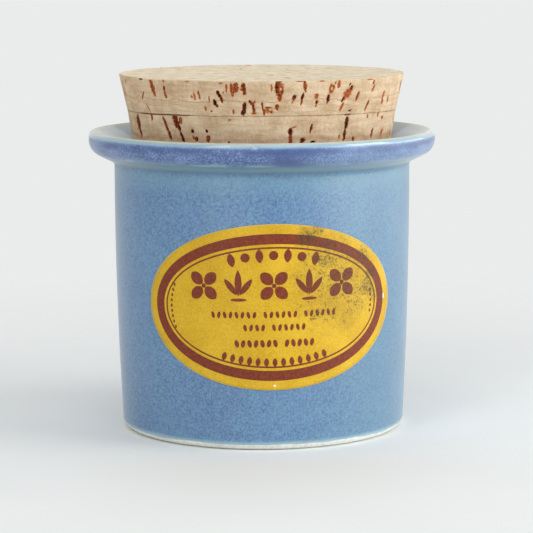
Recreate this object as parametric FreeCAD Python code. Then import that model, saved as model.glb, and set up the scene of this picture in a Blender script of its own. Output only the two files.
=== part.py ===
import FreeCAD, Part
import math
import os
from FreeCAD import Vector

# A small stoneware mustard pot, shut with a cork stopper. The pot is a straight mug-like
# body with a wide, dished rim. The stopper is two cork discs glued face to face, and a
# paper label in the form of a long oval is stuck on the front. Millimetres, +Z up, the
# foot stands on z = 0, the axis of the pot is the Z axis and the front looks along -Y.

# The body of the pot
pot_height = 67.2            # foot to the crest of the rim
wall_radius = 33.25          # outside of the wall, just below the rim
wall_draw_in = 1.3           # how much narrower the wall is just above the foot
wall_upright = 6.0           # upright stretch of the wall below the rim
wall_thickness = 4.35        # at the mouth

# The foot: a bare ring with a shallow recess inside it
foot_top = 2.6               # height where the wall begins
foot_round = 2.2             # rounding from the ring up into the wall
foot_ring_width = 2.4        # flat of the ring that the pot stands on
foot_recess = 1.0            # depth of the recess, and the width of its sloping side
foot_recess_round = 0.6
foot_ring_round = 0.3

# The rim: a flange with an upright outer band, a rounded crest and a dished top
rim_overhang = 5.7           # past the wall
rim_depth = 7.1              # crest down to where the underside meets the wall
rim_underside_angle = 26.0   # degrees up from the horizontal, going outward
rim_dish_angle = 28.0        # degrees down from the horizontal, going inward
rim_neck_fillet = 1.4
rim_lower_round = 3.5
rim_crest_round = 0.75
mouth_round = 1.2

# The stopper: two discs on a tilted seam, wedged in the mouth
stopper_depth = 5.9          # below the sharp corner of the mouth
stopper_clearance = 0.2      # between its side and the socket, square to the axis
stopper_taper = 9.0          # side of the lower disc, degrees from upright
stopper_flare = 12.8         # side of the upper disc, degrees from upright
stopper_edge_round = 0.5
lower_disc_thickness = 15.1
upper_disc_thickness = 8.4
seam_tilt = 1.1              # degrees, the front higher

# The label: an oval of paper, measured flat, on the front of the wall
label_length = 60.0
label_height = 36.1
label_thickness = 0.15
label_paste = 0.02           # between the wall and the paper
label_lift = 0.1             # centre above the middle of the wall
label_turn = 4.5             # degrees about the pot's axis, towards +X
label_tilt = 0.65            # degrees, the +X end higher
label_outline_points = 48

# Worked out from the values above
foot_radius = wall_radius - wall_draw_in
foot_ring_inner = foot_radius - foot_round - foot_ring_width
rim_root = pot_height - rim_depth
wall_bend_top = rim_root - wall_upright
rim_radius = wall_radius + rim_overhang
rim_lower_corner = rim_root + rim_overhang * math.tan(math.radians(rim_underside_angle))
crest_half_turn = math.radians(90.0 + rim_dish_angle) / 2
crest_corner = pot_height - rim_crest_round + rim_crest_round * math.tan(crest_half_turn)
mouth_radius = wall_radius - wall_thickness
mouth_corner = crest_corner - (rim_radius - mouth_radius) * math.tan(math.radians(rim_dish_angle))
socket_floor = mouth_corner - stopper_depth
socket_floor_radius = mouth_radius - stopper_depth * math.tan(math.radians(stopper_taper))
seam_height = socket_floor + lower_disc_thickness
stopper_top = seam_height + upper_disc_thickness
stopper_base_radius = socket_floor_radius - stopper_clearance
seam_radius = stopper_base_radius + lower_disc_thickness * math.tan(math.radians(stopper_taper))
stopper_top_radius = seam_radius + upper_disc_thickness * math.tan(math.radians(stopper_flare))
label_centre = (foot_top + rim_root) / 2 + label_lift


def on_section(radius, height):
    """A point of a half section, which lies in the XZ plane beside the axis."""
    return Vector(radius, 0, height)


def rounded_path(corners):
    """Edges along (radius, height, rounding) corners, each rounded by a tangent arc."""
    points = [on_section(radius, height) for radius, height, _ in corners]
    edges = []
    reached = points[0]
    for index in range(1, len(corners) - 1):
        rounding = corners[index][2]
        corner = points[index]
        if rounding == 0:
            edges.append(Part.LineSegment(reached, corner).toShape())
            reached = corner
            continue
        before = (corner - points[index - 1]).normalize()
        after = (points[index + 1] - corner).normalize()
        half_turn = before.getAngle(after) / 2
        setback = rounding * math.tan(half_turn)
        bulge = rounding / math.cos(half_turn) - rounding
        arc_start = corner - before * setback
        arc_middle = corner + (after - before).normalize() * bulge
        arc_end = corner + after * setback
        edges.append(Part.LineSegment(reached, arc_start).toShape())
        edges.append(Part.Arc(arc_start, arc_middle, arc_end).toShape())
        reached = arc_end
    edges.append(Part.LineSegment(reached, points[-1]).toShape())
    return edges


def wall_bend(offset):
    """The wall's long gentle arc, upright at its top, moved outward by offset."""
    rise = wall_bend_top - foot_top
    bend_radius = (rise ** 2 + wall_draw_in ** 2) / (2 * wall_draw_in)
    half_sweep = math.asin(rise / bend_radius) / 2
    top = on_section(wall_radius + offset, wall_bend_top)
    middle = top + on_section(bend_radius * (math.cos(half_sweep) - 1), -bend_radius * math.sin(half_sweep))
    foot = on_section(foot_radius + offset, foot_top)
    return Part.Arc(foot, middle, top).toShape()


def turned(edges):
    """The solid that a closed half section makes when it turns about the Z axis."""
    section = Part.Face(Part.Wire(Part.__sortEdges__(edges)))
    return section.revolve(Vector(0, 0, 0), Vector(0, 0, 1), 360)


def make_pot():
    """Foot, wall, rim and the socket that the stopper fills, solid below the stopper."""
    foot = rounded_path([
        (0, foot_recess, 0),
        (foot_ring_inner - foot_recess, foot_recess, foot_recess_round),
        (foot_ring_inner, 0, foot_ring_round),
        (foot_radius, 0, foot_round),
        (foot_radius, foot_top, 0),
    ])
    rim_and_socket = rounded_path([
        (wall_radius, wall_bend_top, 0),
        (wall_radius, rim_root, rim_neck_fillet),
        (rim_radius, rim_lower_corner, rim_lower_round),
        (rim_radius, crest_corner, rim_crest_round),
        (mouth_radius, mouth_corner, mouth_round),
        (socket_floor_radius, socket_floor, 0),
        (0, socket_floor, 0),
    ])
    axis = Part.LineSegment(on_section(0, socket_floor), on_section(0, foot_recess)).toShape()
    return turned(foot + [wall_bend(0)] + rim_and_socket + [axis])


def make_stopper_discs():
    """The upper and the lower disc, parted by the tilted seam that they are glued on."""
    side = rounded_path([
        (0, socket_floor, 0),
        (stopper_base_radius, socket_floor, stopper_edge_round),
        (seam_radius, seam_height, 0),
        (stopper_top_radius, stopper_top, stopper_edge_round),
        (0, stopper_top, 0),
    ])
    axis = Part.LineSegment(on_section(0, stopper_top), on_section(0, socket_floor)).toShape()
    stopper = turned(side + [axis])
    reach = 2 * stopper_top_radius
    below_seam = Part.makeBox(2 * reach, 2 * reach, reach, Vector(-reach, -reach, -reach))
    below_seam.rotate(Vector(0, 0, 0), Vector(1, 0, 0), -seam_tilt)
    below_seam.translate(Vector(0, 0, seam_height))
    return stopper.cut(below_seam), stopper.common(below_seam)


def make_label():
    """The oval, wrapped on the wall: a thin jacket of the wall, cut to the oval's outline."""
    inner = label_paste
    outer = label_paste + label_thickness
    jacket_edges = [wall_bend(inner), wall_bend(outer)]
    for radius in (wall_radius + inner, wall_radius + outer):
        upright = Part.LineSegment(on_section(radius, wall_bend_top), on_section(radius, rim_root))
        jacket_edges.append(upright.toShape())
    for radius, height in ((foot_radius, foot_top), (wall_radius, rim_root)):
        end = Part.LineSegment(on_section(radius + inner, height), on_section(radius + outer, height))
        jacket_edges.append(end.toShape())
    jacket = turned(jacket_edges)

    tilt = math.radians(label_tilt)
    outline = []
    for index in range(label_outline_points):
        around = 2 * math.pi * index / label_outline_points
        along = label_length / 2 * math.cos(around)
        up = label_height / 2 * math.sin(around)
        wrapped = (along * math.cos(tilt) - up * math.sin(tilt)) / wall_radius
        height = label_centre + along * math.sin(tilt) + up * math.cos(tilt)
        outline.append(Vector(wall_radius * math.sin(wrapped), 0, height))
    oval = Part.BSplineCurve()
    oval.interpolate(Points=outline, PeriodicFlag=True)
    oval_face = Part.Face(Part.Wire([oval.toShape()]))
    label = jacket.common(oval_face.extrude(Vector(0, -rim_radius, 0)))
    label.rotate(Vector(0, 0, 0), Vector(0, 0, 1), label_turn)
    return label


os.makedirs("parts", exist_ok=True)
cork_upper, cork_lower = make_stopper_discs()
nodes = {
    "pot": make_pot(),
    "cork_lower": cork_lower,
    "cork_upper": cork_upper,
    "label": make_label(),
}
for name, shape in nodes.items():
    solid = shape.Solids[0]
    solid.exportStep(f"parts/{name}.step")
    print(name, len(shape.Solids), round(solid.Volume, 1), solid.isValid(), solid.BoundBox)
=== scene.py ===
import math
import random
import bpy
from mathutils import Matrix, Vector, noise


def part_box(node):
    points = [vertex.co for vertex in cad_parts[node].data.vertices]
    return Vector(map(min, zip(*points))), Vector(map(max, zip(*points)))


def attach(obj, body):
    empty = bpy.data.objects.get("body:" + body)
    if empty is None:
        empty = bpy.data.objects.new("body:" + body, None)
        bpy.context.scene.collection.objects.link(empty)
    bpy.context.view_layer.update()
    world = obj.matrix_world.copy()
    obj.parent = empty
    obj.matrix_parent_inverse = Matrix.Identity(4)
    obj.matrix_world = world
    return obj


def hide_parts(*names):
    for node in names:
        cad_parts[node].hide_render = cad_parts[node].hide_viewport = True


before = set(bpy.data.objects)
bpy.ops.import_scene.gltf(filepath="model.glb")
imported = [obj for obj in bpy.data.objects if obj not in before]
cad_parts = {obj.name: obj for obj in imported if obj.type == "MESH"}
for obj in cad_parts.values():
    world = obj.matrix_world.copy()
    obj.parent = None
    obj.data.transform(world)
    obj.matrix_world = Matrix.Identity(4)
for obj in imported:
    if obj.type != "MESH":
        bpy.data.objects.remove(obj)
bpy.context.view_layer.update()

# ---- The pot ----
# A stoneware pot with a straight wall and a wide rim that is dished towards the mouth. It was
# dipped in a satin blue glaze, which stops just above the foot and leaves the clay bare there,
# runs thin and pale over the crest of the rim, and gathers to violet on the rim's outer band.

mm = 0.001
pot_low, pot_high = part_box("pot")
hair = 0.03 * mm  # kept clear inside the outermost sizes
crest = pot_high.z - hair
rim_radius = (pot_high.x - pot_low.x) / 2 - hair
rim_overhang = 5.7 * mm
wall_radius = rim_radius - rim_overhang
wall_draw_in = 1.3 * mm
foot_radius = wall_radius - wall_draw_in
wall_thickness = 4.35 * mm
mouth_radius = wall_radius - wall_thickness
foot_top = 2.6 * mm
foot_round = 2.2 * mm
foot_ring_width = 2.4 * mm
foot_ring_inner = foot_radius - foot_round - foot_ring_width
foot_recess = 1.0 * mm
rim_depth = 7.1 * mm
rim_root = crest - rim_depth
wall_upright = 6.0 * mm  # the straight part of the wall, below the rim
wall_bend_top = rim_root - wall_upright
underside_slope = math.tan(math.radians(26))
dish_degrees = 28
dish_slope = math.tan(math.radians(dish_degrees))
crest_lift = math.tan(math.radians(90 + dish_degrees) / 2) - 1
crest_corner = crest + 0.75 * mm * crest_lift  # where the dish would meet the band unrounded
crest_round = 0.95 * mm
mouth_corner = crest_corner - (rim_radius - mouth_radius) * dish_slope
stopper_taper = math.tan(math.radians(9))  # of the mouth and of the cork in it
socket_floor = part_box("cork_lower")[0].z - hair
socket_floor_radius = mouth_radius - (mouth_corner - socket_floor) * stopper_taper
glaze_thickness = 0.11 * mm
glaze_edge = 1.35 * mm  # height where the glaze stops
pot_segments = 440


def smooth_step(low, high, value):
    """0 below low, 1 above high and a smooth rise between."""
    share = min(max((value - low) / (high - low), 0.0), 1.0)
    return share * share * (3 - 2 * share)


def straight_run(start, end, spacing):
    """Points from start to just before end, no further apart than spacing."""
    steps = max(1, math.ceil((end - start).length / spacing))
    return [start.lerp(end, step / steps) for step in range(steps)]


def rounded_outline(corners, spacing, arc_steps):
    """Points along (radius, height, rounding) corners, each rounded by a tangent arc."""
    points = [Vector((radius, height)) for radius, height, _ in corners]
    outline = []
    reached = points[0]
    for index in range(1, len(corners) - 1):
        rounding = corners[index][2]
        corner = points[index]
        before = (corner - points[index - 1]).normalized()
        after = (points[index + 1] - corner).normalized()
        turn = before.angle_signed(after)
        setback = rounding * math.tan(abs(turn) / 2)
        arc_start = corner - before * setback
        outline += straight_run(reached, arc_start, spacing)
        side = Vector((-before.y, before.x)) * (-1 if turn > 0 else 1)
        centre = arc_start + side * rounding
        for step in range(arc_steps if rounding else 0):
            spin = Matrix.Rotation(-turn * step / arc_steps, 2)
            outline.append(centre + spin @ (arc_start - centre))
        reached = corner + after * setback
    outline += straight_run(reached, points[-1], spacing) + [points[-1]]
    return outline


def signed_turn(around):
    """The same angle, from minus pi to pi, so that both sides of the front count from it."""
    return around if around < math.pi else around - 2 * math.pi


def around_axis(radius, around):
    """The x and y of a place at that radius, turned from the front towards the right."""
    return radius * math.sin(around), -radius * math.cos(around)


def angles(count):
    """That many angles, evenly spread over a full turn from the front."""
    return [2 * math.pi * step / count for step in range(count)]


def wall_radius_at(height):
    """The wall stands upright below the rim and draws in along one long arc to the foot."""
    rise = wall_bend_top - foot_top
    bend = (rise ** 2 + wall_draw_in ** 2) / (2 * wall_draw_in)
    below = max(0.0, wall_bend_top - height)
    return wall_radius - bend + math.sqrt(bend ** 2 - below ** 2)


def wall_waver(around, height):
    """How far the hand-dipped wall lies inside its true radius, in metres."""
    spot = Vector((math.sin(around) * 1.3, math.cos(around) * 1.3, height / (26 * mm)))
    return 0.07 * mm * (0.5 + 0.5 * noise.noise(spot))


def glaze_edge_at(around):
    """The lower edge of the glaze wanders up and down a little round the foot."""
    spot = Vector((math.sin(around), math.cos(around), 0.0))
    return glaze_edge + 0.32 * mm * noise.noise(spot * 3.1) + 0.12 * mm * noise.noise(spot * 11)


def pot_outline():
    """The half section from the middle of the base, round the rim, to the middle of the socket."""
    foot = rounded_outline([
        (0, foot_recess, 0),
        (foot_ring_inner - foot_recess, foot_recess, 0.6 * mm),
        (foot_ring_inner, 0, 0.3 * mm),
        (foot_radius, 0, foot_round),
        (foot_radius, foot_top, 0),
    ], 1.6 * mm, 20)
    wall = []
    height = foot_top + 0.2 * mm
    while height < wall_bend_top:
        wall.append(Vector((wall_radius_at(height), height)))
        height += 0.2 * mm if height < 4 * mm else 1.1 * mm  # finer where the glaze ends
    rim = rounded_outline([
        (wall_radius, wall_bend_top, 0),
        (wall_radius, rim_root, 1.4 * mm),
        (rim_radius, rim_root + (rim_radius - wall_radius) * underside_slope, 3.5 * mm),
        (rim_radius, crest_corner, crest_round),
        (mouth_radius, mouth_corner, 1.2 * mm),
        (socket_floor_radius, socket_floor, 0),
    ], 0.8 * mm, 12)
    middle = Vector((0.0, socket_floor))
    return foot[:-1] + wall + rim[:-1] + straight_run(rim[-1], middle, 5 * mm) + [middle]


def band_faces(low, high, count):
    """The faces between the ring of points that starts at low and the one that starts at high."""
    return [(low + step, low + (step + 1) % count, high + (step + 1) % count, high + step)
            for step in range(count)]


def turned_faces(rings, segments, closed=True, inside_out=False):
    """The faces from a first point over rings of points and, where closed, to a last point."""
    faces = []
    last = 1 + (rings - 1) * segments
    for segment in range(segments):
        after = (segment + 1) % segments
        faces.append((0, 1 + after, 1 + segment))
        for low in range(1, last, segments):
            high = low + segments
            faces.append((low + segment, low + after, high + after, high + segment))
        if closed:
            faces.append((last + segment, last + after, last + segments))
    return [(face[0], *face[:0:-1]) for face in faces] if inside_out else faces


def smooth_mesh(name, verts, faces):
    mesh = bpy.data.meshes.new(name)
    mesh.from_pydata(verts, [], faces)
    mesh.shade_smooth()
    return mesh


def add_piece(name, mesh, node):
    """Puts a mesh in the scene, in place of its construction solid where it has one."""
    piece = bpy.data.objects.new(name, mesh)
    bpy.context.collection.objects.link(piece)
    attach(piece, "root")
    if node:
        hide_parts(node)


def store(mesh, **kept):
    """Keeps lists of one number for each vertex, which the materials read by name."""
    for name, values in kept.items():
        layer = mesh.attributes.new(name, "FLOAT", "POINT")
        layer.data.foreach_set("value", values)


chip_around = math.radians(-2.0)  # a small chip on the outside of the crest
chip_height = crest - 0.9 * mm
chip_half_width = 1.15 * mm
chip_half_height = 0.6 * mm
chip_sunk = 0.16 * mm


def chip_at(around, height):
    """1 in the middle of the chip, falling to 0 at its ragged edge."""
    turn = signed_turn(around)
    if abs(turn - chip_around) >= 0.1 or height <= crest - 3 * mm:
        return 0.0
    across = (turn - chip_around) * rim_radius / chip_half_width
    up = (height - chip_height) / chip_half_height
    rough = 0.35 * noise.noise(Vector((across * 2, up * 2, 4.0)))
    return smooth_step(1.0, 0.3, math.hypot(across, up) + rough)


def glaze_cover(point, around):
    """1 where the glaze lies and 0 on bare clay, which is the foot and its ring."""
    if point.x < foot_ring_inner - 0.4 * mm and point.y < foot_top:
        return 1.0
    edge = glaze_edge_at(around)
    return smooth_step(edge - 0.1 * mm, edge + 0.1 * mm, point.y)


def place_on_pot(point, around):
    outside = point.x > mouth_radius and point.y > foot_top / 2
    inset = wall_waver(around, point.y) if outside else 0.0
    if point.y < 2 * foot_top and point.x > foot_ring_inner:
        inset += glaze_thickness * (1 - glaze_cover(point, around))
    inset += chip_sunk * chip_at(around, point.y)
    radius = max(point.x - inset, 0.0)
    return Vector((*around_axis(radius, around), point.y))


outline = pot_outline()
runs = [0.0]
for before, after in zip(outline, outline[1:]):
    runs.append(runs[-1] + (after - before).length / mm)
crest_index = max(range(len(outline)), key=lambda index: outline[index].y)
verts, below_crest, cover, chip = [], [], [], []
for index, point in enumerate(outline):
    on_axis = index in (0, len(outline) - 1)
    for around in angles(1 if on_axis else pot_segments):
        verts.append(place_on_pot(point, around))
        below_crest.append(runs[crest_index] - runs[index])
        cover.append(glaze_cover(point, around))
        chip.append(chip_at(around, point.y))
pot_mesh = smooth_mesh("pot_glazed", verts, turned_faces(len(outline) - 2, pot_segments))
store(pot_mesh, below_crest=below_crest, glaze_cover=cover, chip=chip)
add_piece("pot_glazed", pot_mesh, "pot")


def tint(red, green, blue):
    """A colour as a screen shows it, 0 to 255, turned into the linear colour of a shader."""
    linear = []
    for channel in (red, green, blue):
        share = channel / 255
        linear.append(share / 12.92 if share < 0.04045 else ((share + 0.055) / 1.055) ** 2.4)
    return (*linear, 1.0)


class Wire:
    """A shader socket. Arithmetic on it adds Math nodes, so that a mask reads as a sum."""

    def __init__(self, finish, socket):
        self.finish = finish
        self.socket = socket

    def maths(self, operation, first, second):
        return self.finish.node("ShaderNodeMath", {"operation": operation}, {0: first, 1: second})

    def __add__(self, other):
        return self.maths("ADD", self, other)

    def __sub__(self, other):
        return self.maths("SUBTRACT", self, other)

    def __rsub__(self, other):
        return self.maths("SUBTRACT", other, self)

    def __mul__(self, other):
        return self.maths("MULTIPLY", self, other)

    __radd__ = __add__
    __rmul__ = __mul__

    def rise(self, low, high):
        """0 below low, 1 above high and smooth between, or falling where low is the larger."""
        return self.finish.node("ShaderNodeMapRange", {"interpolation_type": "SMOOTHSTEP"},
                                {"Value": self, "From Min": low, "From Max": high})

    def near(self, middle, reach):
        """1 where the value is middle, falling to 0 at reach on either side."""
        return self.maths("ABSOLUTE", self - middle, 0).rise(reach, 0)


class Finish:
    """A material whose nodes are added by one method."""

    def __init__(self, name):
        self.material = bpy.data.materials.new(name)
        self.material.use_nodes = True
        self.tree = self.material.node_tree
        self.surface = self.tree.nodes["Principled BSDF"]
        metres = self.node("ShaderNodeTexCoord", {}, {}, "Object")
        self.spot = self.node("ShaderNodeVectorMath", {"operation": "SCALE"},
                              {"Vector": metres, "Scale": 1 / mm})

    def node(self, kind, settings, sockets, output=0):
        """Adds a node of any kind: its settings, then the values or links of its sockets."""
        added = self.tree.nodes.new(kind)
        for setting, value in settings.items():
            setattr(added, setting, value)
        for socket, value in sockets.items():
            self.plug(added.inputs[socket], value)
        return Wire(self, added.outputs[output])

    def plug(self, socket, value):
        if isinstance(value, Wire):
            self.tree.links.new(value.socket, socket)
        else:
            socket.default_value = value

    def axis(self, letter):
        """How far a place lies along X, Y or Z, in millimetres."""
        return self.node("ShaderNodeSeparateXYZ", {}, {0: self.spot}, letter)

    def stored(self, name):
        return self.node("ShaderNodeAttribute", {"attribute_name": name}, {}, "Fac")

    def clouds(self, size, stretch=(1, 1, 1), detail=2.0, roughness=0.5):
        """Noise whose blobs are about size millimetres across, longer where stretch is over 1."""
        squeeze = tuple(1 / (size * share) for share in stretch)
        spot = self.node("ShaderNodeVectorMath", {"operation": "MULTIPLY"},
                         {0: self.spot, 1: squeeze})
        return self.node("ShaderNodeTexNoise", {},
                         {"Vector": spot, "Scale": 1.0, "Detail": detail, "Roughness": roughness})

    def blend(self, mask, colour, other):
        """The first colour where mask is 0, the other where it is 1."""
        return self.node("ShaderNodeMix", {"data_type": "RGBA"}, {0: mask, 6: colour, 7: other}, 2)

    def layered(self, colour, *coats):
        """The colour with others laid over it in turn, each given as mask, red, green, blue."""
        for mask, *screen in coats:
            colour = self.blend(mask, colour, tint(*screen))
        return colour

    def dress(self, **sockets):
        for name, value in sockets.items():
            self.plug(self.surface.inputs[name.replace("_", " ")], value)

    def relief(self, height, depth):
        """Bumps of up to depth millimetres where height goes from 0 to 1."""
        return self.node("ShaderNodeBump", {},
                         {"Strength": 1.0, "Distance": depth * mm, "Height": height})


# Run counts millimetres down the outline from the crest: the band of the rim turns under at
# about 6.5, its underside ends at 10, and the wall starts at 11. In the dish it is negative.
glaze = Finish("satin_blue_glaze")
run = glaze.stored("below_crest")
across = glaze.axis("X")
wander = glaze.clouds(5.0, detail=3.0) - 0.5
drift = glaze.clouds(12.0, (1, 1, 4), 1.0) - 0.5
grain = glaze.clouds(0.32, (1, 1, 1.3), 1.0) - 0.5
sand = glaze.clouds(0.62, (1.2, 1.2, 1), 1.0) - 0.5
mottle = glaze.clouds(0.95, (1, 1, 1.3), 2.0) - 0.5
patches = glaze.clouds(9.0, (1, 1, 1.4)) - 0.5
# Where the lamps on the right fall, a whitish sheen is painted into the colour: greyer on the body,
# paler on the rim's band.
painted_right_sheen = (across + wander * 6.0).rise(0, 26)

# The body has a fine grain and slow clouds, violet and green patches, a pale collar high on the
# wall, a painted grey sheen on the right where the lamps fall, a dim band below the rim that is
# pooled glaze with painted shade under the overhang, and sage on the rim's underside.
tone = 0.5 + grain * 2.1 + sand * 1.25 + mottle * 0.3 + patches * 0.5
hue_patches = glaze.clouds(3.0, (1, 1, 1.3), 3.0)
run_out = run + wander * 1.6
pale_collar = run_out.rise(10.2, 11.8) * run_out.rise(16.5, 12)
# Pooled glaze with painted shade, darker just under the rim's overhang.
pooled_and_shaded_band = run_out.rise(11.3, 10.2)
sage = run_out.rise(10.2, 8.4)
body = glaze.layered(
    glaze.blend(tone.rise(-0.4, 1.15), tint(53, 93, 138), tint(105, 145, 180)),
    (hue_patches.rise(0.45, 0.75) * 0.4, 92, 119, 166),
    (hue_patches.rise(0.5, 0.2) * 0.35, 98, 139, 166),
    (pale_collar * 0.4, 118, 163, 182),
    (painted_right_sheen * 0.35, 94, 132, 142),
    (pooled_and_shaded_band * 0.45, 80, 112, 134),
    (sage * (0.75 + wander * 0.6), 106, 146, 144),
)

# On the rim's band it is violet, paler low down, with painted highlights on the lower lip, a
# painted sheen on the right and one dark pool in front.
violet_grain = (glaze.clouds(0.38, (1.2, 1.2, 1), 2.0, 0.6) - 0.5) * 2.8
violet_tone = 0.42 + violet_grain + patches * 1.3 + wander * 0.9
band_run = run + drift * 5.0 + wander
lit_lip = (run + wander * 0.8).near(5.9, 1.0) * glaze.clouds(7.0, (1, 1, 3)).rise(0.42, 0.64)
pool = (across + wander * 5.0).near(5.2, 8.0) * (run + wander).near(4.5, 3.8)
pool = pool * glaze.axis("Y").rise(0, -12)
violet = glaze.layered(
    glaze.blend(violet_tone.rise(0, 1), tint(57, 85, 137), tint(117, 144, 189)),
    (band_run.rise(4.2, 6.6) * 0.6, 104, 140, 166),
    (lit_lip * 0.6, 158, 190, 202),
    (painted_right_sheen * 0.3, 138, 166, 190),
    (pool * 0.85, 58, 74, 130),
)

# A painted shadow line follows the lower lip and navy streaks follow the crest. Over the crest
# the glaze runs thin and pale, and in the dish it darkens towards the cork: pooled glaze with
# painted shade from the cork. The chip and the glaze's lower edge are pale too. What it leaves
# bare is clay.
# A painted shadow along the lower lip, where the band turns under.
lip_shadow_line = (run + wander * 0.4).near(6.9, 0.7)
navy = (run + wander * 1.2 + grain * 0.8).near(2.3, 1.3)
navy = navy * glaze.clouds(5.0, (1.6, 1.6, 1)).rise(0.3, 0.55)
dish = (run + wander * 0.6).rise(-0.4, -2.6)
chipped = glaze.stored("chip")
coat = glaze.layered(
    glaze.blend(band_run.rise(7.6, 6.6), body, violet),
    (lip_shadow_line * 0.4, 66, 98, 128),
    (navy * 0.85, 46, 74, 128),
    ((run + wander * 0.4).rise(1.85, 1.15), 142, 174, 196),
    ((run + wander * 0.3).rise(1.2, 0.5), 180, 187, 170),
    (dish, 166, 178, 188),
    # Painted shade from the cork over pooled glaze, darker towards the mouth.
    (run.rise(-2.5, -8), 86, 106, 128),
    (chipped.rise(0, 0.4) * 0.5, 128, 150, 186),
    (chipped.rise(0.35, 0.9) * 0.8, 172, 186, 190),
    ((glaze.axis("Z") + wander * 0.5).rise(2.4, 1.4) * 0.85, 160, 190, 200),
)
clay_tone = glaze.clouds(0.8, detail=3.0)
clay = glaze.blend(clay_tone.rise(0.3, 0.7), tint(218, 218, 210), tint(238, 238, 231))
edge_line = glaze.stored("glaze_cover").rise(0.3, 0.75)
shine = run.rise(1.9, 1.1)
glaze.dress(
    Base_Color=glaze.blend(edge_line, clay, coat),
    Roughness=0.75 - edge_line * 0.38 - shine * 0.29 + patches * 0.06,
    Normal=glaze.relief((sand + mottle) * (1 - dish), 0.006),
    IOR=1.68,
    Sheen_Weight=0.42,
    Sheen_Roughness=0.35,
)
pot_mesh.materials.append(glaze.material)

# ---- The stopper ----
# Two discs of natural cork, cut from the bark so that its growth bands lie flat and its pores
# run from face to face, glued on a slightly tilted seam, then turned to a taper that wedges
# in the mouth. The pores show on the side as upright rusty slits, some with dark hollows.

cork_segments = 840
lower_low, lower_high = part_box("cork_lower")
upper_low, upper_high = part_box("cork_upper")
seam_radius = (lower_high.x - lower_low.x) / 2
seam_height = (lower_high.z + upper_low.z) / 2
seam_lean = (lower_high.z - upper_low.z) / (2 * seam_radius)
upper_taper = math.tan(math.radians(12.8))
stopper_top = upper_high.z - 0.19 * mm
stopper_top_lean = math.tan(math.radians(0.2))
skin = 0.06 * mm  # kept clear inside the turned taper


def ripple(x, y, size, seed):
    """Smooth noise from -1 to 1 over the plane, with swells about size across."""
    return noise.noise(Vector((x / size, y / size, seed)))


def seam_at(x, y):
    wander = 0.05 * ripple(x, y, 7 * mm, 3.0) + 0.07 * ripple(x, y, 1.6 * mm, 4.0)
    return seam_height - y * seam_lean + wander * mm


def top_at(x, y):
    return stopper_top + y * stopper_top_lean + 0.04 * mm * ripple(x, y, 9 * mm, 8.0)


def base_at(x, y):
    return lower_low.z


def stopper_radius_at(height):
    above = height - seam_height
    return seam_radius - skin + above * (upper_taper if above > 0 else stopper_taper)


def seam_gap(around):
    """How open the glued seam is: a hairline in front, cracked and dark on the left."""
    degrees = math.degrees(signed_turn(around))
    crack = smooth_step(-64, -56, degrees) * smooth_step(-27, -36, degrees)
    nick = smooth_step(2.5, 0.5, abs(degrees - 38))
    rough = 0.5 + 0.5 * noise.noise(Vector((degrees / 1.7, 0.0, 0.0)))
    return 0.35 + 0.3 * rough + (0.9 * rough + 0.2) * max(crack, nick)


def foot_edge(around):
    """The rounding of the stopper's bottom edge."""
    return 0.4 * mm


def glued_edge(around):
    """The rounding of both discs at the seam, larger where it has opened."""
    return 0.1 * mm * (1 + seam_gap(around))


def worn_edge(around):
    """The rounding of the top edge, with small crumbs gone."""
    spot = Vector((math.sin(around) * 40, math.cos(around) * 40, 0.0))
    crumbs = 0.5 * max(0.0, noise.noise(spot) - 0.12)
    return (0.22 + crumbs + 0.1 * noise.noise(spot * 3)) * mm


def pulled_in(distance, rounding):
    """How far a rounded edge lies inside its face, at a distance along the other face."""
    if distance >= rounding:
        return 0.0
    return rounding - math.sqrt(rounding ** 2 - (rounding - distance) ** 2)


def scattered_pores(seed, count, from_angle, to_angle, from_height, to_height):
    """Pores for the sides that have none listed: mostly narrow slits, a few patches."""
    dice = random.Random(seed)
    pores = []
    for _ in range(count):
        patch = dice.random() < 0.15
        width = dice.uniform(1.2, 1.9) if patch else dice.uniform(0.35, 1.0)
        length = dice.uniform(1.5, 3.0) if patch else dice.uniform(0.8, 3.6)
        darkness = dice.uniform(0.2, 0.5) if patch else dice.uniform(0.2, 1.0)
        angle = dice.uniform(from_angle, to_angle)
        height = dice.uniform(from_height, to_height)
        pores.append((angle, height, width, length, dice.uniform(-0.7, 0.7), darkness))
    return pores


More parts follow.
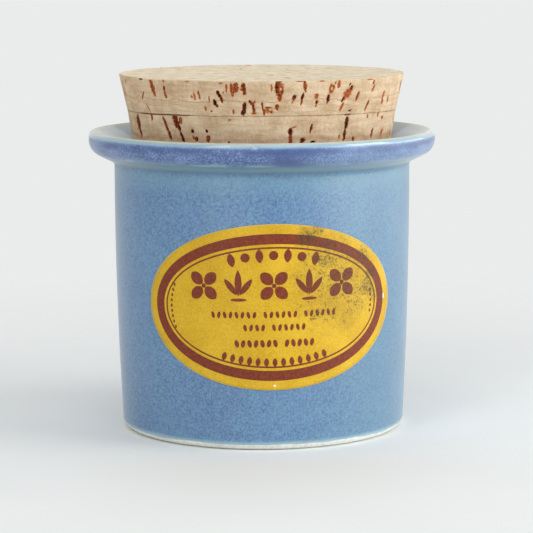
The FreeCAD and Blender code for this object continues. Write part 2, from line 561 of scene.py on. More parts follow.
# Each pore: degrees round from the front, height, width, length, lean of its top to the right
# (all in millimetres), and darkness, from 0 for pale ochre through rust to 1 for near black.
# A pore with a darkness of -1 is a plug of sound cork inside the one before it.
upper_pores = [
    (-56.3, 75.8, 0.55, 2.3, 1.7, 0.4), (-54.1, 73.2, 0.28, 2.8, -1.7, 0.9),
    (-48.3, 77.7, 1.4, 3.6, -0.6, 0.4), (-47.9, 77.2, 0.5, 2.6, -0.4, 0.7),
    (-41.7, 77.8, 0.7, 1.0, 0.2, 1.0), (-41.5, 76.6, 0.8, 2.6, -0.3, 0.3),
    (-41.4, 79.3, 0.7, 0.7, 0.0, 0.3), (-27.3, 76.3, 0.5, 1.8, -0.2, 0.25),
    (-28.6, 76.2, 0.5, 0.8, -0.2, 0.05), (-25.2, 76.6, 0.55, 2.0, -0.3, 0.3),
    (-21.0, 75.7, 0.35, 1.7, -0.1, 0.3), (-22.9, 73.7, 0.6, 1.2, -0.4, 0.15),
    (-20.4, 73.2, 0.6, 0.5, 0.0, 0.1), (-18.7, 75.0, 0.9, 1.5, -0.3, 1.0),
    (-18.0, 74.4, 0.7, 0.7, 0.0, 0.4), (-17.0, 76.9, 0.8, 1.9, -0.5, 0.95),
    (-15.9, 75.8, 0.75, 1.7, -0.3, 0.6), (-13.6, 78.2, 0.6, 1.8, 0.0, 0.25),
    (-14.9, 77.2, 0.4, 0.8, 0.3, 0.1), (-15.8, 79.2, 0.9, 0.4, 0.0, 0.2),
    (-11.6, 78.3, 0.8, 2.2, 0.0, 0.4), (-9.9, 78.3, 1.3, 2.3, 0.0, 0.45),
    (-11.2, 77.0, 0.7, 1.5, 0.0, 0.35), (-7.9, 78.0, 0.4, 1.0, 0.0, 0.1),
    (-6.8, 78.0, 1.0, 3.1, -0.2, 0.6), (-6.9, 77.9, 0.5, 1.2, 0.0, 0.9),
    (-6.9, 73.8, 1.0, 3.1, 0.3, 0.8), (-7.7, 72.9, 0.7, 1.0, 0.0, 0.9),
    (-4.3, 75.1, 0.7, 1.2, -0.4, 0.6), (-3.2, 74.0, 0.7, 2.3, -0.4, 0.7),
    (-2.7, 75.2, 0.4, 0.9, 0.3, 0.3), (-3.0, 72.8, 1.0, 0.6, 0.0, 0.3),
    (-11.2, 73.1, 0.5, 1.2, 0.0, 0.4), (0.3, 74.6, 0.35, 2.2, -0.2, 0.6),
    (1.0, 73.0, 0.5, 1.6, -0.2, 0.4), (2.7, 74.0, 1.6, 0.35, -0.3, 0.6),
    (2.2, 73.3, 1.3, 1.3, 0.0, 0.1), (4.0, 73.1, 0.5, 0.8, 0.0, 0.3),
    (7.0, 78.0, 2.1, 3.0, 0.0, 0.35), (7.2, 76.2, 1.1, 2.0, 0.0, 0.4),
    (7.4, 77.9, 0.45, 0.8, 0.0, -1), (6.0, 78.0, 0.75, 2.8, -0.2, 1.0),
    (7.0, 76.6, 0.5, 1.1, 0.0, 0.95), (8.2, 77.4, 0.35, 1.6, 0.1, 0.8),
    (3.9, 78.3, 0.5, 1.6, 0.0, 0.05), (6.2, 74.0, 0.85, 1.7, 0.0, 0.5),
    (6.4, 74.2, 0.4, 0.7, 0.0, 0.9), (12.9, 76.1, 0.9, 1.2, 0.3, 0.8),
    (12.4, 75.2, 0.5, 0.8, 0.3, 0.1), (17.1, 78.5, 0.95, 2.2, 0.0, 0.35),
    (16.7, 79.3, 0.4, 0.5, 0.0, 0.9), (16.4, 76.3, 0.6, 1.6, 0.3, 0.8),
    (16.0, 75.1, 0.5, 1.5, 0.2, 0.4), (17.6, 77.4, 0.4, 0.5, 0.0, 0.8),
    (22.2, 76.3, 0.9, 1.4, 0.0, 0.2), (22.5, 75.0, 0.75, 1.0, 0.0, 0.9),
    (22.2, 74.3, 0.5, 0.9, 0.0, 0.2), (28.5, 77.8, 1.4, 2.1, 0.0, 0.3),
    (28.6, 77.8, 0.55, 0.8, 0.0, -1), (27.4, 75.8, 0.8, 2.0, 0.2, 0.85),
    (27.0, 74.9, 0.5, 0.8, 0.0, 0.3), (31.6, 78.7, 0.8, 1.8, 0.1, 0.3),
    (30.0, 79.0, 0.3, 0.5, 0.0, 0.7), (36.2, 76.6, 2.3, 2.8, 1.4, 0.25),
    (38.0, 77.8, 0.7, 1.3, 0.3, 0.75), (34.4, 75.3, 0.55, 1.5, 0.7, 0.9),
    (34.1, 73.7, 0.75, 2.1, 0.9, 0.3), (41.8, 75.9, 0.8, 2.4, 0.8, 0.45),
    (42.1, 76.3, 0.35, 0.9, 0.3, 0.8), (37.0, 78.5, 0.4, 0.8, 0.3, 0.8),
    (50.1, 78.7, 0.7, 1.2, 0.0, 0.35), (50.5, 77.4, 0.7, 1.8, 0.5, 0.3),
    (48.6, 74.2, 0.75, 1.5, 0.5, 0.55), (47.7, 73.2, 0.7, 1.4, 0.4, 0.25),
    (59.0, 75.6, 0.9, 2.2, 0.4, 0.15), (59.2, 74.2, 0.9, 1.2, 0.0, 0.3),
    (64.0, 74.6, 0.9, 1.6, 0.0, 0.05), (38.8, 72.8, 0.8, 0.5, 0.5, 0.9),
    (-55.6, 79.4, 1.6, 0.35, 0.0, 0.6), (15.0, 79.6, 2.2, 0.25, 0.0, 0.5),
    (6.5, 79.5, 1.3, 0.5, 0.0, 0.6), (47.5, 79.4, 2.0, 0.3, 0.0, 0.15),
    (-30.0, 79.5, 1.2, 0.3, 0.0, 0.15), (24.0, 79.5, 1.6, 0.3, 0.0, 0.2),
] + scattered_pores(11, 58, 76, 290, 72.8, 79.2)
lower_pores = [
    (-65.5, 69.6, 2.0, 3.7, -0.2, 0.7), (-64.6, 67.3, 1.3, 2.4, -0.4, 0.6),
    (-52.6, 71.2, 0.8, 1.9, 0.0, 0.45), (-44.2, 70.0, 0.95, 3.0, -0.9, 0.5),
    (-42.7, 67.9, 0.95, 2.8, -0.8, 0.7), (-38.0, 70.6, 1.7, 3.0, -0.4, 0.7),
    (-36.7, 69.2, 0.9, 1.8, -0.5, 0.9), (-35.6, 67.3, 0.9, 2.2, -0.8, 0.85),
    (-35.4, 71.0, 0.95, 1.6, 0.0, 0.35), (-30.2, 68.7, 0.65, 0.9, 0.0, 1.0),
    (-30.0, 67.4, 0.5, 1.1, -0.2, 0.4), (-28.4, 67.0, 0.85, 1.4, 0.0, 0.75),
    (-23.3, 68.8, 0.6, 0.9, -0.2, 1.0), (-22.8, 67.1, 1.0, 1.7, 0.0, 0.5),
    (-22.9, 67.6, 0.4, 0.5, 0.0, 0.9), (-13.8, 66.5, 0.55, 0.6, 0.0, 0.8),
    (12.0, 68.7, 1.2, 1.6, 0.0, 0.85), (12.1, 67.0, 1.0, 2.0, 0.0, 0.45),
    (13.6, 69.7, 0.8, 0.5, 0.5, 0.05), (17.3, 66.7, 1.2, 1.4, 0.3, 0.85),
    (16.6, 66.4, 0.5, 0.8, 0.3, 0.4), (20.9, 69.4, 0.65, 1.7, 0.3, 0.8),
    (20.6, 68.6, 0.4, 0.9, 0.1, 0.3), (22.2, 66.2, 1.2, 0.9, 0.0, 1.0),
    (37.9, 70.2, 1.1, 3.4, 0.1, 0.9), (37.4, 67.6, 0.85, 2.6, 0.1, 0.75),
    (38.2, 72.3, 0.5, 0.8, 0.4, 0.9), (42.3, 66.6, 0.85, 1.2, 0.0, 0.5),
    (54.7, 67.4, 0.9, 2.2, 0.2, 0.45), (50.0, 71.3, 0.6, 1.0, -0.2, 0.2),
    (57.6, 71.4, 0.8, 1.0, -0.1, 0.1), (61.8, 70.7, 1.0, 1.0, -0.1, 0.25),
    (63.5, 67.3, 1.4, 2.2, 0.2, 0.05), (34.6, 67.2, 0.5, 1.0, 0.0, 0.1),
    (-13.0, 71.3, 0.9, 0.3, 0.0, 0.3),
] + scattered_pores(12, 36, 74, 291, 64.5, 71.0)


pit_reach = 31.0  # in millimetres from the axis, as the next
top_edge = 31.4
breaks_out = 79.4  # the height where a side pore opens on top


def face_pits(seed, count):
    """End-on pores on the top face: middle, width and length in millimetres, turn, darkness."""
    dice = random.Random(seed)
    pits = []
    for _ in range(count):
        away = pit_reach * math.sqrt(dice.random())
        turn = dice.uniform(0, 2 * math.pi)
        size = dice.choice((0.5, 0.6, 0.8, 1.0, 1.5))
        long = size * dice.uniform(1.0, 2.4)
        lean = dice.uniform(-0.5, 0.5)
        pits.append((*around_axis(away, turn), size, long, lean, dice.uniform(0.0, 0.75)))
    for angle, height, width, length, _, dark in upper_pores:
        if height + length / 2 > breaks_out and dark > 0:
            turn = math.radians(angle)
            pits.append((*around_axis(top_edge, turn), width, 1.0, -turn, dark))
    return pits


def mark(openness, darkness, place, amount, dark):
    """Adds a pore's share at one vertex, or plugs what is there."""
    if dark < 0:
        openness[place] *= 1 - amount
    elif amount > openness[place]:
        openness[place] = amount
        darkness[place] = dark


def ragged(spot):
    """The torn outline of a pore."""
    return noise.noise(spot) + 0.5 * noise.noise(spot * 2.3)


def columns_near(angle, reach, full_turn, count):
    """The columns of a ring of count points that lie within reach of an angle."""
    first = math.floor((angle - reach) / full_turn * count)
    last = math.ceil((angle + reach) / full_turn * count)
    return range(first, last + 1)


def side_rows(span, first_row):
    """Where the rows of points cross the side, from 0 to 1, closer at the rounded edges."""
    shares = [step * mm / span for step in (0.0, 0.05, 0.13)]
    share = first_row / span
    while share < 1 - 0.3 * mm / span:
        shares.append(share)
        share += 0.172 * mm / span
    return shares + [1 - step * mm / span for step in (0.27, 0.13, 0.05, 0.0)]


def side_pores(pores, shares, bottom, top):
    """How open and how dark the side is at each of its points."""
    openness = [0.0] * (len(shares) * cork_segments)
    darkness = list(openness)
    for angle, height, width, length, lean, dark in pores:
        middle = height * mm
        radius = stopper_radius_at(middle)
        reach = math.degrees((width + abs(lean)) * mm / radius) + 0.6
        for column in columns_near(angle, reach, 360, cork_segments):
            around = 2 * math.pi * column / cork_segments
            x, y = around_axis(radius, around)
            low, high = bottom(x, y), top(x, y)
            aside = (math.degrees(around) - angle) * math.pi / 180 * radius
            for row, share in enumerate(shares):
                up = (low + (high - low) * share - middle) / (length * mm / 2)
                if abs(up) > 1.5:
                    continue
                across = (aside - up * lean * mm / 2) / (width * mm / 2)
                torn = 0.42 * ragged(Vector((aside / (0.4 * mm), up * length / 1.2, angle)))
                amount = smooth_step(1.3, 0.4, math.hypot(across, abs(up) ** 1.2) + torn)
                place = row * cork_segments + column % cork_segments
                mark(openness, darkness, place, amount, dark)
    return openness, darkness


def side_wall(shares, bottom, top, low_edge, high_edge, openness, darkness):
    """The side's points with the pores sunk in, and how much of the dark seam is at each."""
    span = top(0, 0) - bottom(0, 0)
    verts, seams = [], []
    for share in shares:
        reach = stopper_radius_at(bottom(0, 0) + share * span)
        for around in angles(cork_segments):
            x, y = around_axis(reach, around)
            height = bottom(x, y) + (top(x, y) - bottom(x, y)) * share
            place = len(verts)
            sunk = openness[place] * (0.12 + 0.45 * max(0.0, darkness[place] - 0.25)) * mm
            waver = 0.04 * mm * noise.noise(Vector((x, y, height * 2)) / (4 * mm)) - 0.02 * mm
            inward = pulled_in(share * span, low_edge(around))
            inward += pulled_in((1 - share) * span, high_edge(around))
            radius = stopper_radius_at(height) - inward - sunk + waver
            verts.append([*around_axis(radius, around), height])
            seam_distance = abs(height - seam_at(x, y)) / mm
            seams.append(smooth_step(0.28, 0.05, seam_distance) * seam_gap(around))
    return verts, seams


def close_face(verts, faces, edge_start, face_at, edge, fine, upward):
    """Closes one face with rings of points inside the side's last row, and lists the rings."""
    rim = stopper_radius_at(face_at(0, 0)) - edge(0)
    ring_count = 88 if fine else 4
    rings, added = [], []
    outer_start, outer_count = edge_start, cork_segments
    for ring in range(1, ring_count):
        radius = rim * (1 - ring / ring_count)
        count = outer_count
        crowded = radius / count < rim / cork_segments * 0.5
        if fine and crowded and count % 2 == 0 and count > 60:
            count //= 2
        start = len(verts)
        rings.append((radius, start, count))
        for around in angles(count):
            x, y = around_axis(radius, around)
            verts.append([x, y, face_at(x, y)])
        if count == outer_count:
            added += band_faces(outer_start, start, count)
        else:
            for column in range(count):
                near, after = start + column, start + (column + 1) % count
                left, middle = outer_start + 2 * column, outer_start + 2 * column + 1
                right = outer_start + (2 * column + 2) % outer_count
                added += [(left, middle, near), (middle, after, near), (middle, right, after)]
        outer_start, outer_count = start, count
    verts.append([0, 0, face_at(0, 0)])
    for column in range(outer_count):
        after = (column + 1) % outer_count
        added.append((outer_start + column, outer_start + after, len(verts) - 1))
    faces += added if upward else [face[::-1] for face in added]
    return rings


def sink_pits(pits, verts, rings, openness, darkness):
    """Opens the end-on pores in the top face, then sinks and roughens its points."""
    for x, y, width, length, turn, dark in pits:
        away = math.hypot(x, y) * mm
        angle = math.atan2(x, -y)
        reach = (length * 0.8 + 0.4) * mm
        for radius, start, count in rings:
            if abs(radius - away) > reach:
                continue
            half = min(math.pi, reach / max(radius, reach / 3))
            for column in columns_near(angle, half, 2 * math.pi, count):
                place = start + column % count
                aside, ahead = verts[place][0] / mm - x, verts[place][1] / mm - y
                across = (aside * math.cos(turn) + ahead * math.sin(turn)) / (width / 2)
                along = (ahead * math.cos(turn) - aside * math.sin(turn)) / (length / 2)
                torn = 0.45 * ragged(Vector((aside / 0.4, ahead / 0.4, x)))
                amount = smooth_step(1.25, 0.45, math.hypot(across, along) + torn)
                mark(openness, darkness, place, amount, dark)
    for _, start, count in rings:
        for place in range(start, start + count):
            x, y, height = verts[place]
            sunk = openness[place] * (0.15 + 0.4 * darkness[place]) * mm
            rough = ripple(x, y, 1.1 * mm, 1.0) + ripple(x, y, 0.5 * mm, 2.0)
            verts[place][2] = height - sunk - 0.03 * mm + 0.035 * mm * rough


def cork_disc(name, node, bottom, top, low_edge, high_edge, first_row, pores, pits):
    """One disc: a fine grid round its side with the pores sunk in, and its two faces."""
    shares = side_rows(top(0, 0) - bottom(0, 0), first_row)
    openness, darkness = side_pores(pores, shares, bottom, top)
    verts, seams = side_wall(shares, bottom, top, low_edge, high_edge, openness, darkness)
    last_row = len(verts) - cork_segments
    faces = []
    for low in range(0, last_row, cork_segments):
        faces += band_faces(low, low + cork_segments, cork_segments)
    caps = [0.0] * len(verts)  # 0.5 on the bottom face and 1 on the top
    close_face(verts, faces, 0, bottom, low_edge, False, False)
    caps += [0.5] * (len(verts) - len(caps))
    rings = close_face(verts, faces, last_row, top, high_edge, bool(pits), True)
    caps += [1.0] * (len(verts) - len(caps))
    for values in (openness, darkness, seams):
        values.extend([0.0] * (len(verts) - len(values)))
    if pits:
        sink_pits(pits, verts, rings, openness, darkness)
    mesh = smooth_mesh(name, verts, faces)
    store(mesh, pore=openness, darkness=darkness, cap=caps, seam=seams)
    mesh.materials.append(cork.material)
    add_piece(name, mesh, node)


# Growth lines: height and reach in millimetres, and weight.
growth_lines = [
    (75.4, 0.25, 0.7), (74.1, 0.2, 0.55), (72.9, 0.2, 0.55), (78.0, 0.16, 0.4),
    (70.2, 0.2, 0.4), (68.3, 0.16, 0.35), (66.8, 1.1, 0.6),
]
cork = Finish("natural_cork")
grain = cork.clouds(0.35, detail=3.0, roughness=0.6) - 0.5
flecks = cork.clouds(0.7, (1, 1, 3.5), 2.0) - 0.5
layers = cork.clouds(1.1, (6, 6, 1), 3.0) - 0.5
blotches = cork.clouds(3.6, (1, 1, 1.3), 3.0) - 0.5
tone = 0.5 + grain * 0.8 + flecks * 0.4 + layers * 0.8 + blotches
side = cork.blend(tone.rise(0.0, 1.0), tint(188, 156, 119), tint(229, 209, 180))
growth = cork.axis("Z") + (cork.clouds(5.0, (1, 1, 3), 3.0) - 0.5) * 2.6
for line, reach, weight in growth_lines:
    patchy = growth.near(line, reach) * weight * (0.7 + flecks * 1.5 + layers)
    side = cork.blend(patchy.rise(0, 1), side, tint(176, 120, 76))
face_tone = 0.5 + grain * 0.5 + blotches + (cork.clouds(1.3, detail=3.0) - 0.5) * 0.8
face = cork.blend(face_tone.rise(0.1, 0.9), tint(200, 182, 152), tint(228, 217, 194))
on_face = cork.stored("cap").rise(0.1, 0.9)

# A rusty stain surrounds each pore, whose lining goes from ochre to near black.
pore = cork.stored("pore")
dark = cork.stored("darkness")
stripes = cork.clouds(0.22, (1, 1, 5), 1.0) - 0.5
stain = (pore + grain * 0.3).rise(0.02, 0.4)
depth = pore * 0.45 + dark * 0.75 + grain * 1.5 + stripes * 0.5 - on_face * 0.2
lining = cork.layered(
    cork.blend(depth.rise(0.15, 0.6), tint(206, 142, 88), tint(164, 84, 44)),
    (depth.rise(0.6, 0.95), 108, 46, 24),
    (depth.rise(0.95, 1.2), 48, 20, 8),
)
pore_mask = (pore + grain * 0.8 + stripes * 0.15).rise(0.24, 0.5) * (1 - on_face * 0.45)
seam_line = (cork.stored("seam") + grain * 0.9).rise(0.25, 0.85)
surface = cork.layered(cork.blend(on_face, side, face), (stain * 0.5, 208, 160, 112))
surface = cork.blend(pore_mask, surface, lining)
cork.dress(
    Base_Color=cork.layered(surface, (seam_line * 0.85, 112, 70, 36)),
    Roughness=0.85 - pore_mask * 0.12,
    Normal=cork.relief(tone - pore_mask * 0.5, 0.09),
    Specular_IOR_Level=0.12,
    Diffuse_Roughness=0.5,
)
cork_disc("cork_lower_disc", "cork_lower", base_at, seam_at, foot_edge, glued_edge,
          7.0 * mm, lower_pores, [])
cork_disc("cork_upper_disc", "cork_upper", seam_at, top_at, glued_edge, worn_edge,
          0.28 * mm, upper_pores, face_pits(5, 90))

# ---- The label ----
# A long oval of thin yellow paper, pasted on the front of the wall a few degrees to the right.
# Brown ink is printed on it: a broad band and a fine line along its edge, and rows of plain
# ornaments inside: blossoms, leaves and seeds. Mould has speckled its upper right.

label_low, label_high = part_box("label")
label_height = (label_low.z + label_high.z) / 2
label_half_length = 30.0 * mm
label_half_width = (label_high.z - label_low.z) / 2 - hair
label_turn = math.radians(4.5)
label_tilt = math.radians(0.65)
paper_back = 0.01 * mm  # heights off the wall
paper_face = 0.15 * mm
ink_face = 0.168 * mm


def on_wall(along, up, lift):
    """A point of the label, from its own flat sizes, wrapped on the pot's wall."""
    sideways = along * math.cos(label_tilt) - up * math.sin(label_tilt)
    height = label_height + along * math.sin(label_tilt) + up * math.cos(label_tilt)
    around = label_turn + sideways / wall_radius
    radius = wall_radius_at(height) - wall_waver(around, height) + lift
    return Vector((*around_axis(radius, around), height))


# Mould patches: along and up from the label's middle, and radius, in millimetres, and how dense.
mould_patches = [
    (14.0, 5.0, 17.0, 0.5), (7.5, 15.0, 3.2, 0.95), (9.6, 16.2, 2.4, 0.8), (11.3, 12.6, 2.8, 0.7),
    (11.6, 9.6, 3.0, 0.85), (12.4, 6.2, 3.0, 0.55), (8.0, 6.6, 3.6, 0.42), (6.2, 3.2, 3.2, 0.4),
    (21.3, 10.4, 2.8, 0.75), (23.4, 5.6, 2.6, 0.9), (22.4, 3.1, 2.8, 0.95), (24.6, 1.6, 2.4, 0.8),
    (19.6, 1.0, 4.2, 0.65), (17.0, 5.6, 4.6, 0.42), (15.6, 12.0, 3.6, 0.42), (9.0, -1.6, 3.4, 0.55),
    (13.6, -2.5, 3.2, 0.5), (17.2, -3.2, 3.6, 0.42),
]


def mould_at(along, up):
    """How thickly the mould grows at a place on the label, 0 to 1."""
    growth = 0.0
    for patch_along, patch_up, radius, dense in mould_patches:
        away = math.hypot(along / mm - patch_along, up / mm - patch_up)
        growth = max(growth, dense * smooth_step(radius * 1.15, radius * 0.2, away))
    return growth


def store_flat(mesh, flats):
    """Keeps the mould and the flat place of every vertex of something on the label."""
    store(mesh, mould=[mould_at(along, up) for along, up in flats],
          along=[along / mm for along, up in flats], up=[up / mm for along, up in flats])


label_rings = 30
label_segments = 200
flats, verts = [(0.0, 0.0)], [on_wall(0, 0, paper_face)]
lifts = [(ring / label_rings, paper_face) for ring in range(1, label_rings + 1)]
lifts += [(1.0, 0.02 * mm)] + [(share / 8, paper_back) for share in (7, 5, 3, 1)]
for share, lift in lifts:
    for turn in angles(label_segments):
        cut = 1 - 0.0012 * (1 + noise.noise(Vector((math.cos(turn) * 6, math.sin(turn) * 6, 0))))
        along = label_half_length * share * cut * math.cos(turn)
        up = label_half_width * share * cut * math.sin(turn)
        flats.append((along, up))
        verts.append(on_wall(along, up, lift))
flats.append((0.0, 0.0))
verts.append(on_wall(0, 0, paper_back))
faces = turned_faces(len(lifts), label_segments, inside_out=True)
label_mesh = smooth_mesh("label_paper", verts, faces)
store_flat(label_mesh, flats)
add_piece("label_paper", label_mesh, "label")

ink_flats, ink_verts, ink_faces = [], [], []


def print_patch(grid):
    """Prints a patch from closed rows of flat points, each row inside the next."""
    start = len(ink_verts)
    across = len(grid[0])
    for row in grid:
        for along, up in row:
            ink_flats.append((along, up))
            ink_verts.append(on_wall(along, up, ink_face))
    for row in range(len(grid) - 1):
        for column in range(across):
            after = (column + 1) % across
            low, high = start + row * across, start + (row + 1) * across
            ink_faces.append((low + column, high + column, high + after, low + after))


def print_oval_band(outer_margin, inner_margin, rows=3):
    """A band that follows the label's edge between two margins."""
    grid = []
    for row in range(rows + 1):
        margin = (inner_margin + (outer_margin - inner_margin) * row / rows) * mm
        half_length, half_width = label_half_length - margin, label_half_width - margin
        grid.append([(half_length * math.cos(turn), half_width * math.sin(turn))
                     for turn in angles(240)])
    print_patch(grid)


def print_leaf(along, up, length, width, lean, point=0.0, segments=20, rows=3):
    """An oval or, with point over 0, a leaf; lean is in degrees from upright, clockwise."""
    turn = math.radians(lean)
    grid = []
    for row in range(rows + 1):
        share = max(row / rows, 0.02)
        ring = []
        for round_it in angles(segments):
            tall = length / 2 * share * math.cos(round_it)
            wide = -width / 2 * share * math.sin(round_it) * abs(math.sin(round_it)) ** point
            ring.append(((along + wide * math.cos(turn) + tall * math.sin(turn)) * mm,
                         (up - wide * math.sin(turn) + tall * math.cos(turn)) * mm))
        grid.append(ring)
    print_patch(grid)


def print_blossom(along, up, size, lean):
    """Four petals and an eye."""
    for petal in range(4):
        turn = math.radians(lean + 90 * petal)
        reach = size * 0.29
        print_leaf(along + reach * math.sin(turn), up + reach * math.cos(turn),
                   size * 0.44, size * 0.33, lean + 90 * petal, 0.25)
    print_leaf(along, up, size * 0.13, size * 0.13, 0)


def print_sprig(along, up, size):
    """An upright leaf between two that lean outward, on a short foot."""
    print_leaf(along, up + size * 0.1, size * 0.8, size * 0.22, 0, 0.6)
    for side in (-1, 1):
        foot = along + side * size * 0.24
        print_leaf(foot, up - size * 0.02, size * 0.62, size * 0.19, side * 38, 0.6)
    print_leaf(along, up - size * 0.42, size * 0.5, size * 0.1, 90)


def print_seeds(up, groups, width, height, step):
    """A level row of seeds in groups, centred on the label."""
    places = []
    reach = 0.0
    for group in groups:
        for _ in range(group):
            places.append(reach)
            reach += step
        reach += step * 0.8
    middle = (places[0] + places[-1]) / 2
    for index, place in enumerate(places):
        print_leaf(place - middle, up, height, width, 12 if index % 2 else -12)


print_oval_band(2.1, 4.3)
print_oval_band(4.9, 5.27, rows=1)
for index in range(7):
    lean = (index - 3) * 4.5
    along = 3.05 * (index - 3)
    up = 11.3 - 0.012 * along ** 2
    if index % 2:
        print_leaf(along, up, 2.0, 2.0, 0)
    else:
        print_leaf(along, up, 3.0, 1.7, lean, 0.6)
for index in range(5):
    if index % 2:
        print_sprig(7.7 * (index - 2), 4.7, 7.0)
    else:
        print_blossom(7.7 * (index - 2), 4.75, 7.6, 45)
print_seeds(-1.5, (8, 6, 6), 0.75, 1.5, 1.3)
print_seeds(-4.3, (4, 6), 0.75, 1.5, 1.3)
print_seeds(-7.75, (7, 5), 0.95, 1.7, 1.4)
for index in range(13):
    along = 1.85 * (index - 6)
    print_leaf(along, -11.9 + 0.0115 * along ** 2, 1.9, 1.1, -along * 1.6, 0.5)
for side, reach in ((-1, 4), (1, 2)):
    for index in range(-reach, reach + 1):
        up = index * 1.15
        print_leaf(side * (23.6 - 0.045 * up ** 2), up, 0.75, 0.55, 0, 0.0, 10, 2)
ink_mesh = smooth_mesh("label_print", ink_verts, ink_faces)
store_flat(ink_mesh, ink_flats)
add_piece("label_print", ink_mesh, None)


def soiled(finish, clean, film_tint, speck_tint):
    """The clean colour under a thin film of mould and its specks, denser where it thrives."""
    growth = finish.stored("mould")
    specks = finish.clouds(0.42, detail=2.0, roughness=0.6) - 0.5
    films = finish.clouds(1.7, detail=3.0) - 0.5
    film = (growth + films).rise(0.0, 0.9) * growth.rise(0, 0.4)
    dirty = finish.blend(film * 0.5, clean, film_tint)
    spots = (growth * 0.6 + specks * 2.6 + films * 0.9).rise(0.32, 0.85)
    return finish.blend(spots * growth.rise(0.1, 0.5) * 0.8, dirty, speck_tint)


paper = Finish("yellow_paper")
fibre = paper.clouds(0.35, detail=3.0)
wear = paper.clouds(7.0)
ground = paper.blend((0.5 + (fibre - 0.5) * 1.3 + (wear - 0.5) * 0.9).rise(0, 1),
                     tint(192, 148, 14), tint(222, 182, 44))
along, up = paper.stored("along"), paper.stored("up")
half_long, half_wide = 30.0, 18.05  # of the oval, in millimetres
from_edge = along * along * (1 / half_long ** 2) + up * up * (1 / half_wide ** 2)
ground = paper.layered(ground, (from_edge.rise(0.975, 0.995) * 0.5, 232, 222, 176))
ground = soiled(paper, ground, tint(146, 120, 46), tint(84, 72, 32))
scuffs = along.near(28.1, 0.45) * up.near(0.3, 1.1) + along.near(-0.1, 0.5) * up.near(-17.0, 0.4)
paper.dress(
    Base_Color=paper.layered(ground, (scuffs.rise(0.25, 0.55), 236, 232, 212)),
    Roughness=0.5 + (fibre - 0.5) * 0.2,
    Normal=paper.relief(fibre, 0.015),
    Specular_IOR_Level=0.3,
)
label_mesh.materials.append(paper.material)
ink = Finish("brown_ink")
ink_grain = ink.clouds(0.4, detail=3.0)
ink_tone = ink.blend(ink_grain.rise(0.25, 0.75), tint(102, 36, 18), tint(136, 60, 32))
ink.dress(
    Base_Color=soiled(ink, ink_tone, tint(98, 66, 34), tint(60, 42, 26)),
    Roughness=0.48 + (ink_grain - 0.5) * 0.2,
    Specular_IOR_Level=0.3,
)
ink_mesh.materials.append(ink.material)

# ---- The floor and the light ----
# The pot stands on a round pale sweep, whose edge curves up so that it has no corner. Seven
# soft lamps stand round it: a large one and a low strip on the right, one high in front, low
# ones front right and front left, a small bright one on the left like a window, one behind.

sweep_flat = 0.95
sweep_rise = 0.9
sweep_points = [Vector((0.0, 0.0))]
for step in range(1, 13):
    sweep_points.append(Vector((sweep_flat * step / 12, 0.0)))
for step in range(1, 17):
    lean = math.pi / 2 * step / 16
    away = sweep_flat + sweep_rise * math.sin(lean)
    sweep_points.append(Vector((away, sweep_rise * (1 - math.cos(lean)))))
floor_segments = 96
floor_verts = [(0.0, 0.0, 0.0)]
for point in sweep_points[1:]:
    for around in angles(floor_segments):
        floor_verts.append((*around_axis(point.x, around), point.y))
floor_faces = turned_faces(len(sweep_points) - 1, floor_segments, closed=False, inside_out=True)
floor_mesh = smooth_mesh("floor", floor_verts, floor_faces)
floor = bpy.data.objects.new("floor", floor_mesh)
bpy.context.collection.objects.link(floor)
sweep = Finish("pale_sweep")
sweep_clouds = sweep.clouds(60.0).rise(0.3, 0.7)
sweep.dress(
    Base_Color=sweep.blend(sweep_clouds, tint(230, 232, 231), tint(233, 235, 234)),
    Roughness=0.9,
)
distance = sweep.node("ShaderNodeVectorMath", {"operation": "LENGTH"}, {"Vector": sweep.spot}, "Value")
seen = sweep.node("ShaderNodeLightPath", {}, {}, "Is Camera Ray")
for ray in ("Is Glossy Ray", "Is Transmission Ray"):
    seen = seen + sweep.node("ShaderNodeLightPath", {}, {}, ray)
glow = sweep.node("ShaderNodeEmission", {}, {"Color": tint(234, 236, 235), "Strength": 1.0})
output = sweep.tree.nodes["Material Output"]
mixed = sweep.node("ShaderNodeMixShader", {}, {0: seen * distance.rise(65, 260), 2: glow})
sweep.tree.links.new(sweep.surface.outputs["BSDF"], mixed.socket.node.inputs[1])
sweep.tree.links.new(mixed.socket, output.inputs["Surface"])
floor_mesh.materials.append(sweep.material)


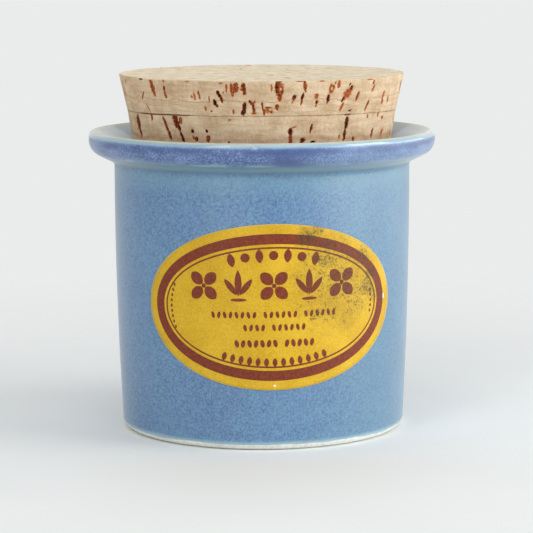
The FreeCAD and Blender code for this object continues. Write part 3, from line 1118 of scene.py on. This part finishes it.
def soft_lamp(name, azimuth, elevation, distance, width, height, watts):
    """A flat lamp aimed at the pot; azimuth 0 is in front and 90 to the right."""
    lamp = bpy.data.lights.new(name, "AREA")
    lamp.shape = "RECTANGLE"
    lamp.size = width
    lamp.size_y = height
    lamp.energy = watts
    turn, lift = math.radians(azimuth), math.radians(elevation)
    outward = Vector((*around_axis(math.cos(lift), turn), math.sin(lift)))
    holder = bpy.data.objects.new(name, lamp)
    holder.location = outward * distance
    holder.rotation_euler = outward.to_track_quat("Z", "Y").to_euler()
    holder.visible_camera = False
    bpy.context.collection.objects.link(holder)


soft_lamp("lamp_right", 74, 23, 0.8, 0.44, 0.44, 2.95)
soft_lamp("lamp_right_low", 88, 6, 0.8, 1.5, 0.16, 2.5)
soft_lamp("lamp_front", 0, 52, 0.85, 0.7, 0.7, 2.05)
soft_lamp("lamp_front_right", 52, 6, 0.85, 0.5, 0.2, 0.45)
soft_lamp("lamp_front_left", -26, 9, 0.85, 0.46, 0.22, 0.62)
soft_lamp("lamp_window", -30, 32, 0.85, 0.2, 0.16, 0.8)
soft_lamp("lamp_behind", 180, 58, 0.8, 0.6, 0.6, 1.3)

world = bpy.data.worlds.new("studio")
world.use_nodes = True
background = world.node_tree.nodes["Background"]
background.inputs["Color"].default_value = (0.97, 0.99, 1.0, 1.0)
background.inputs["Strength"].default_value = 0.44
bpy.context.scene.world = world
bpy.context.scene.view_settings.view_transform = "Standard"

# ---- The camera ----
# It stands in front of the pot, a little above it, and looks slightly down.

camera_data = bpy.data.cameras.new("camera")
camera_data.lens = 160.95
camera_data.sensor_width = 36.0
camera_data.clip_start = 0.01
camera = bpy.data.objects.new("camera", camera_data)
pitch = math.radians(7.83)
roll = 0.004
right = Vector((math.cos(roll), -math.sin(roll) * math.sin(pitch), -math.sin(roll) * math.cos(pitch)))
back = Vector((0.0, -math.cos(pitch), math.sin(pitch)))
up = back.cross(right)
camera.matrix_world = Matrix((
    (right.x, up.x, back.x, 0.95 * mm),
    (right.y, up.y, back.y, -535.4 * mm),
    (right.z, up.z, back.z, 109.46 * mm),
    (0, 0, 0, 1),
))
bpy.context.collection.objects.link(camera)
bpy.context.scene.camera = camera
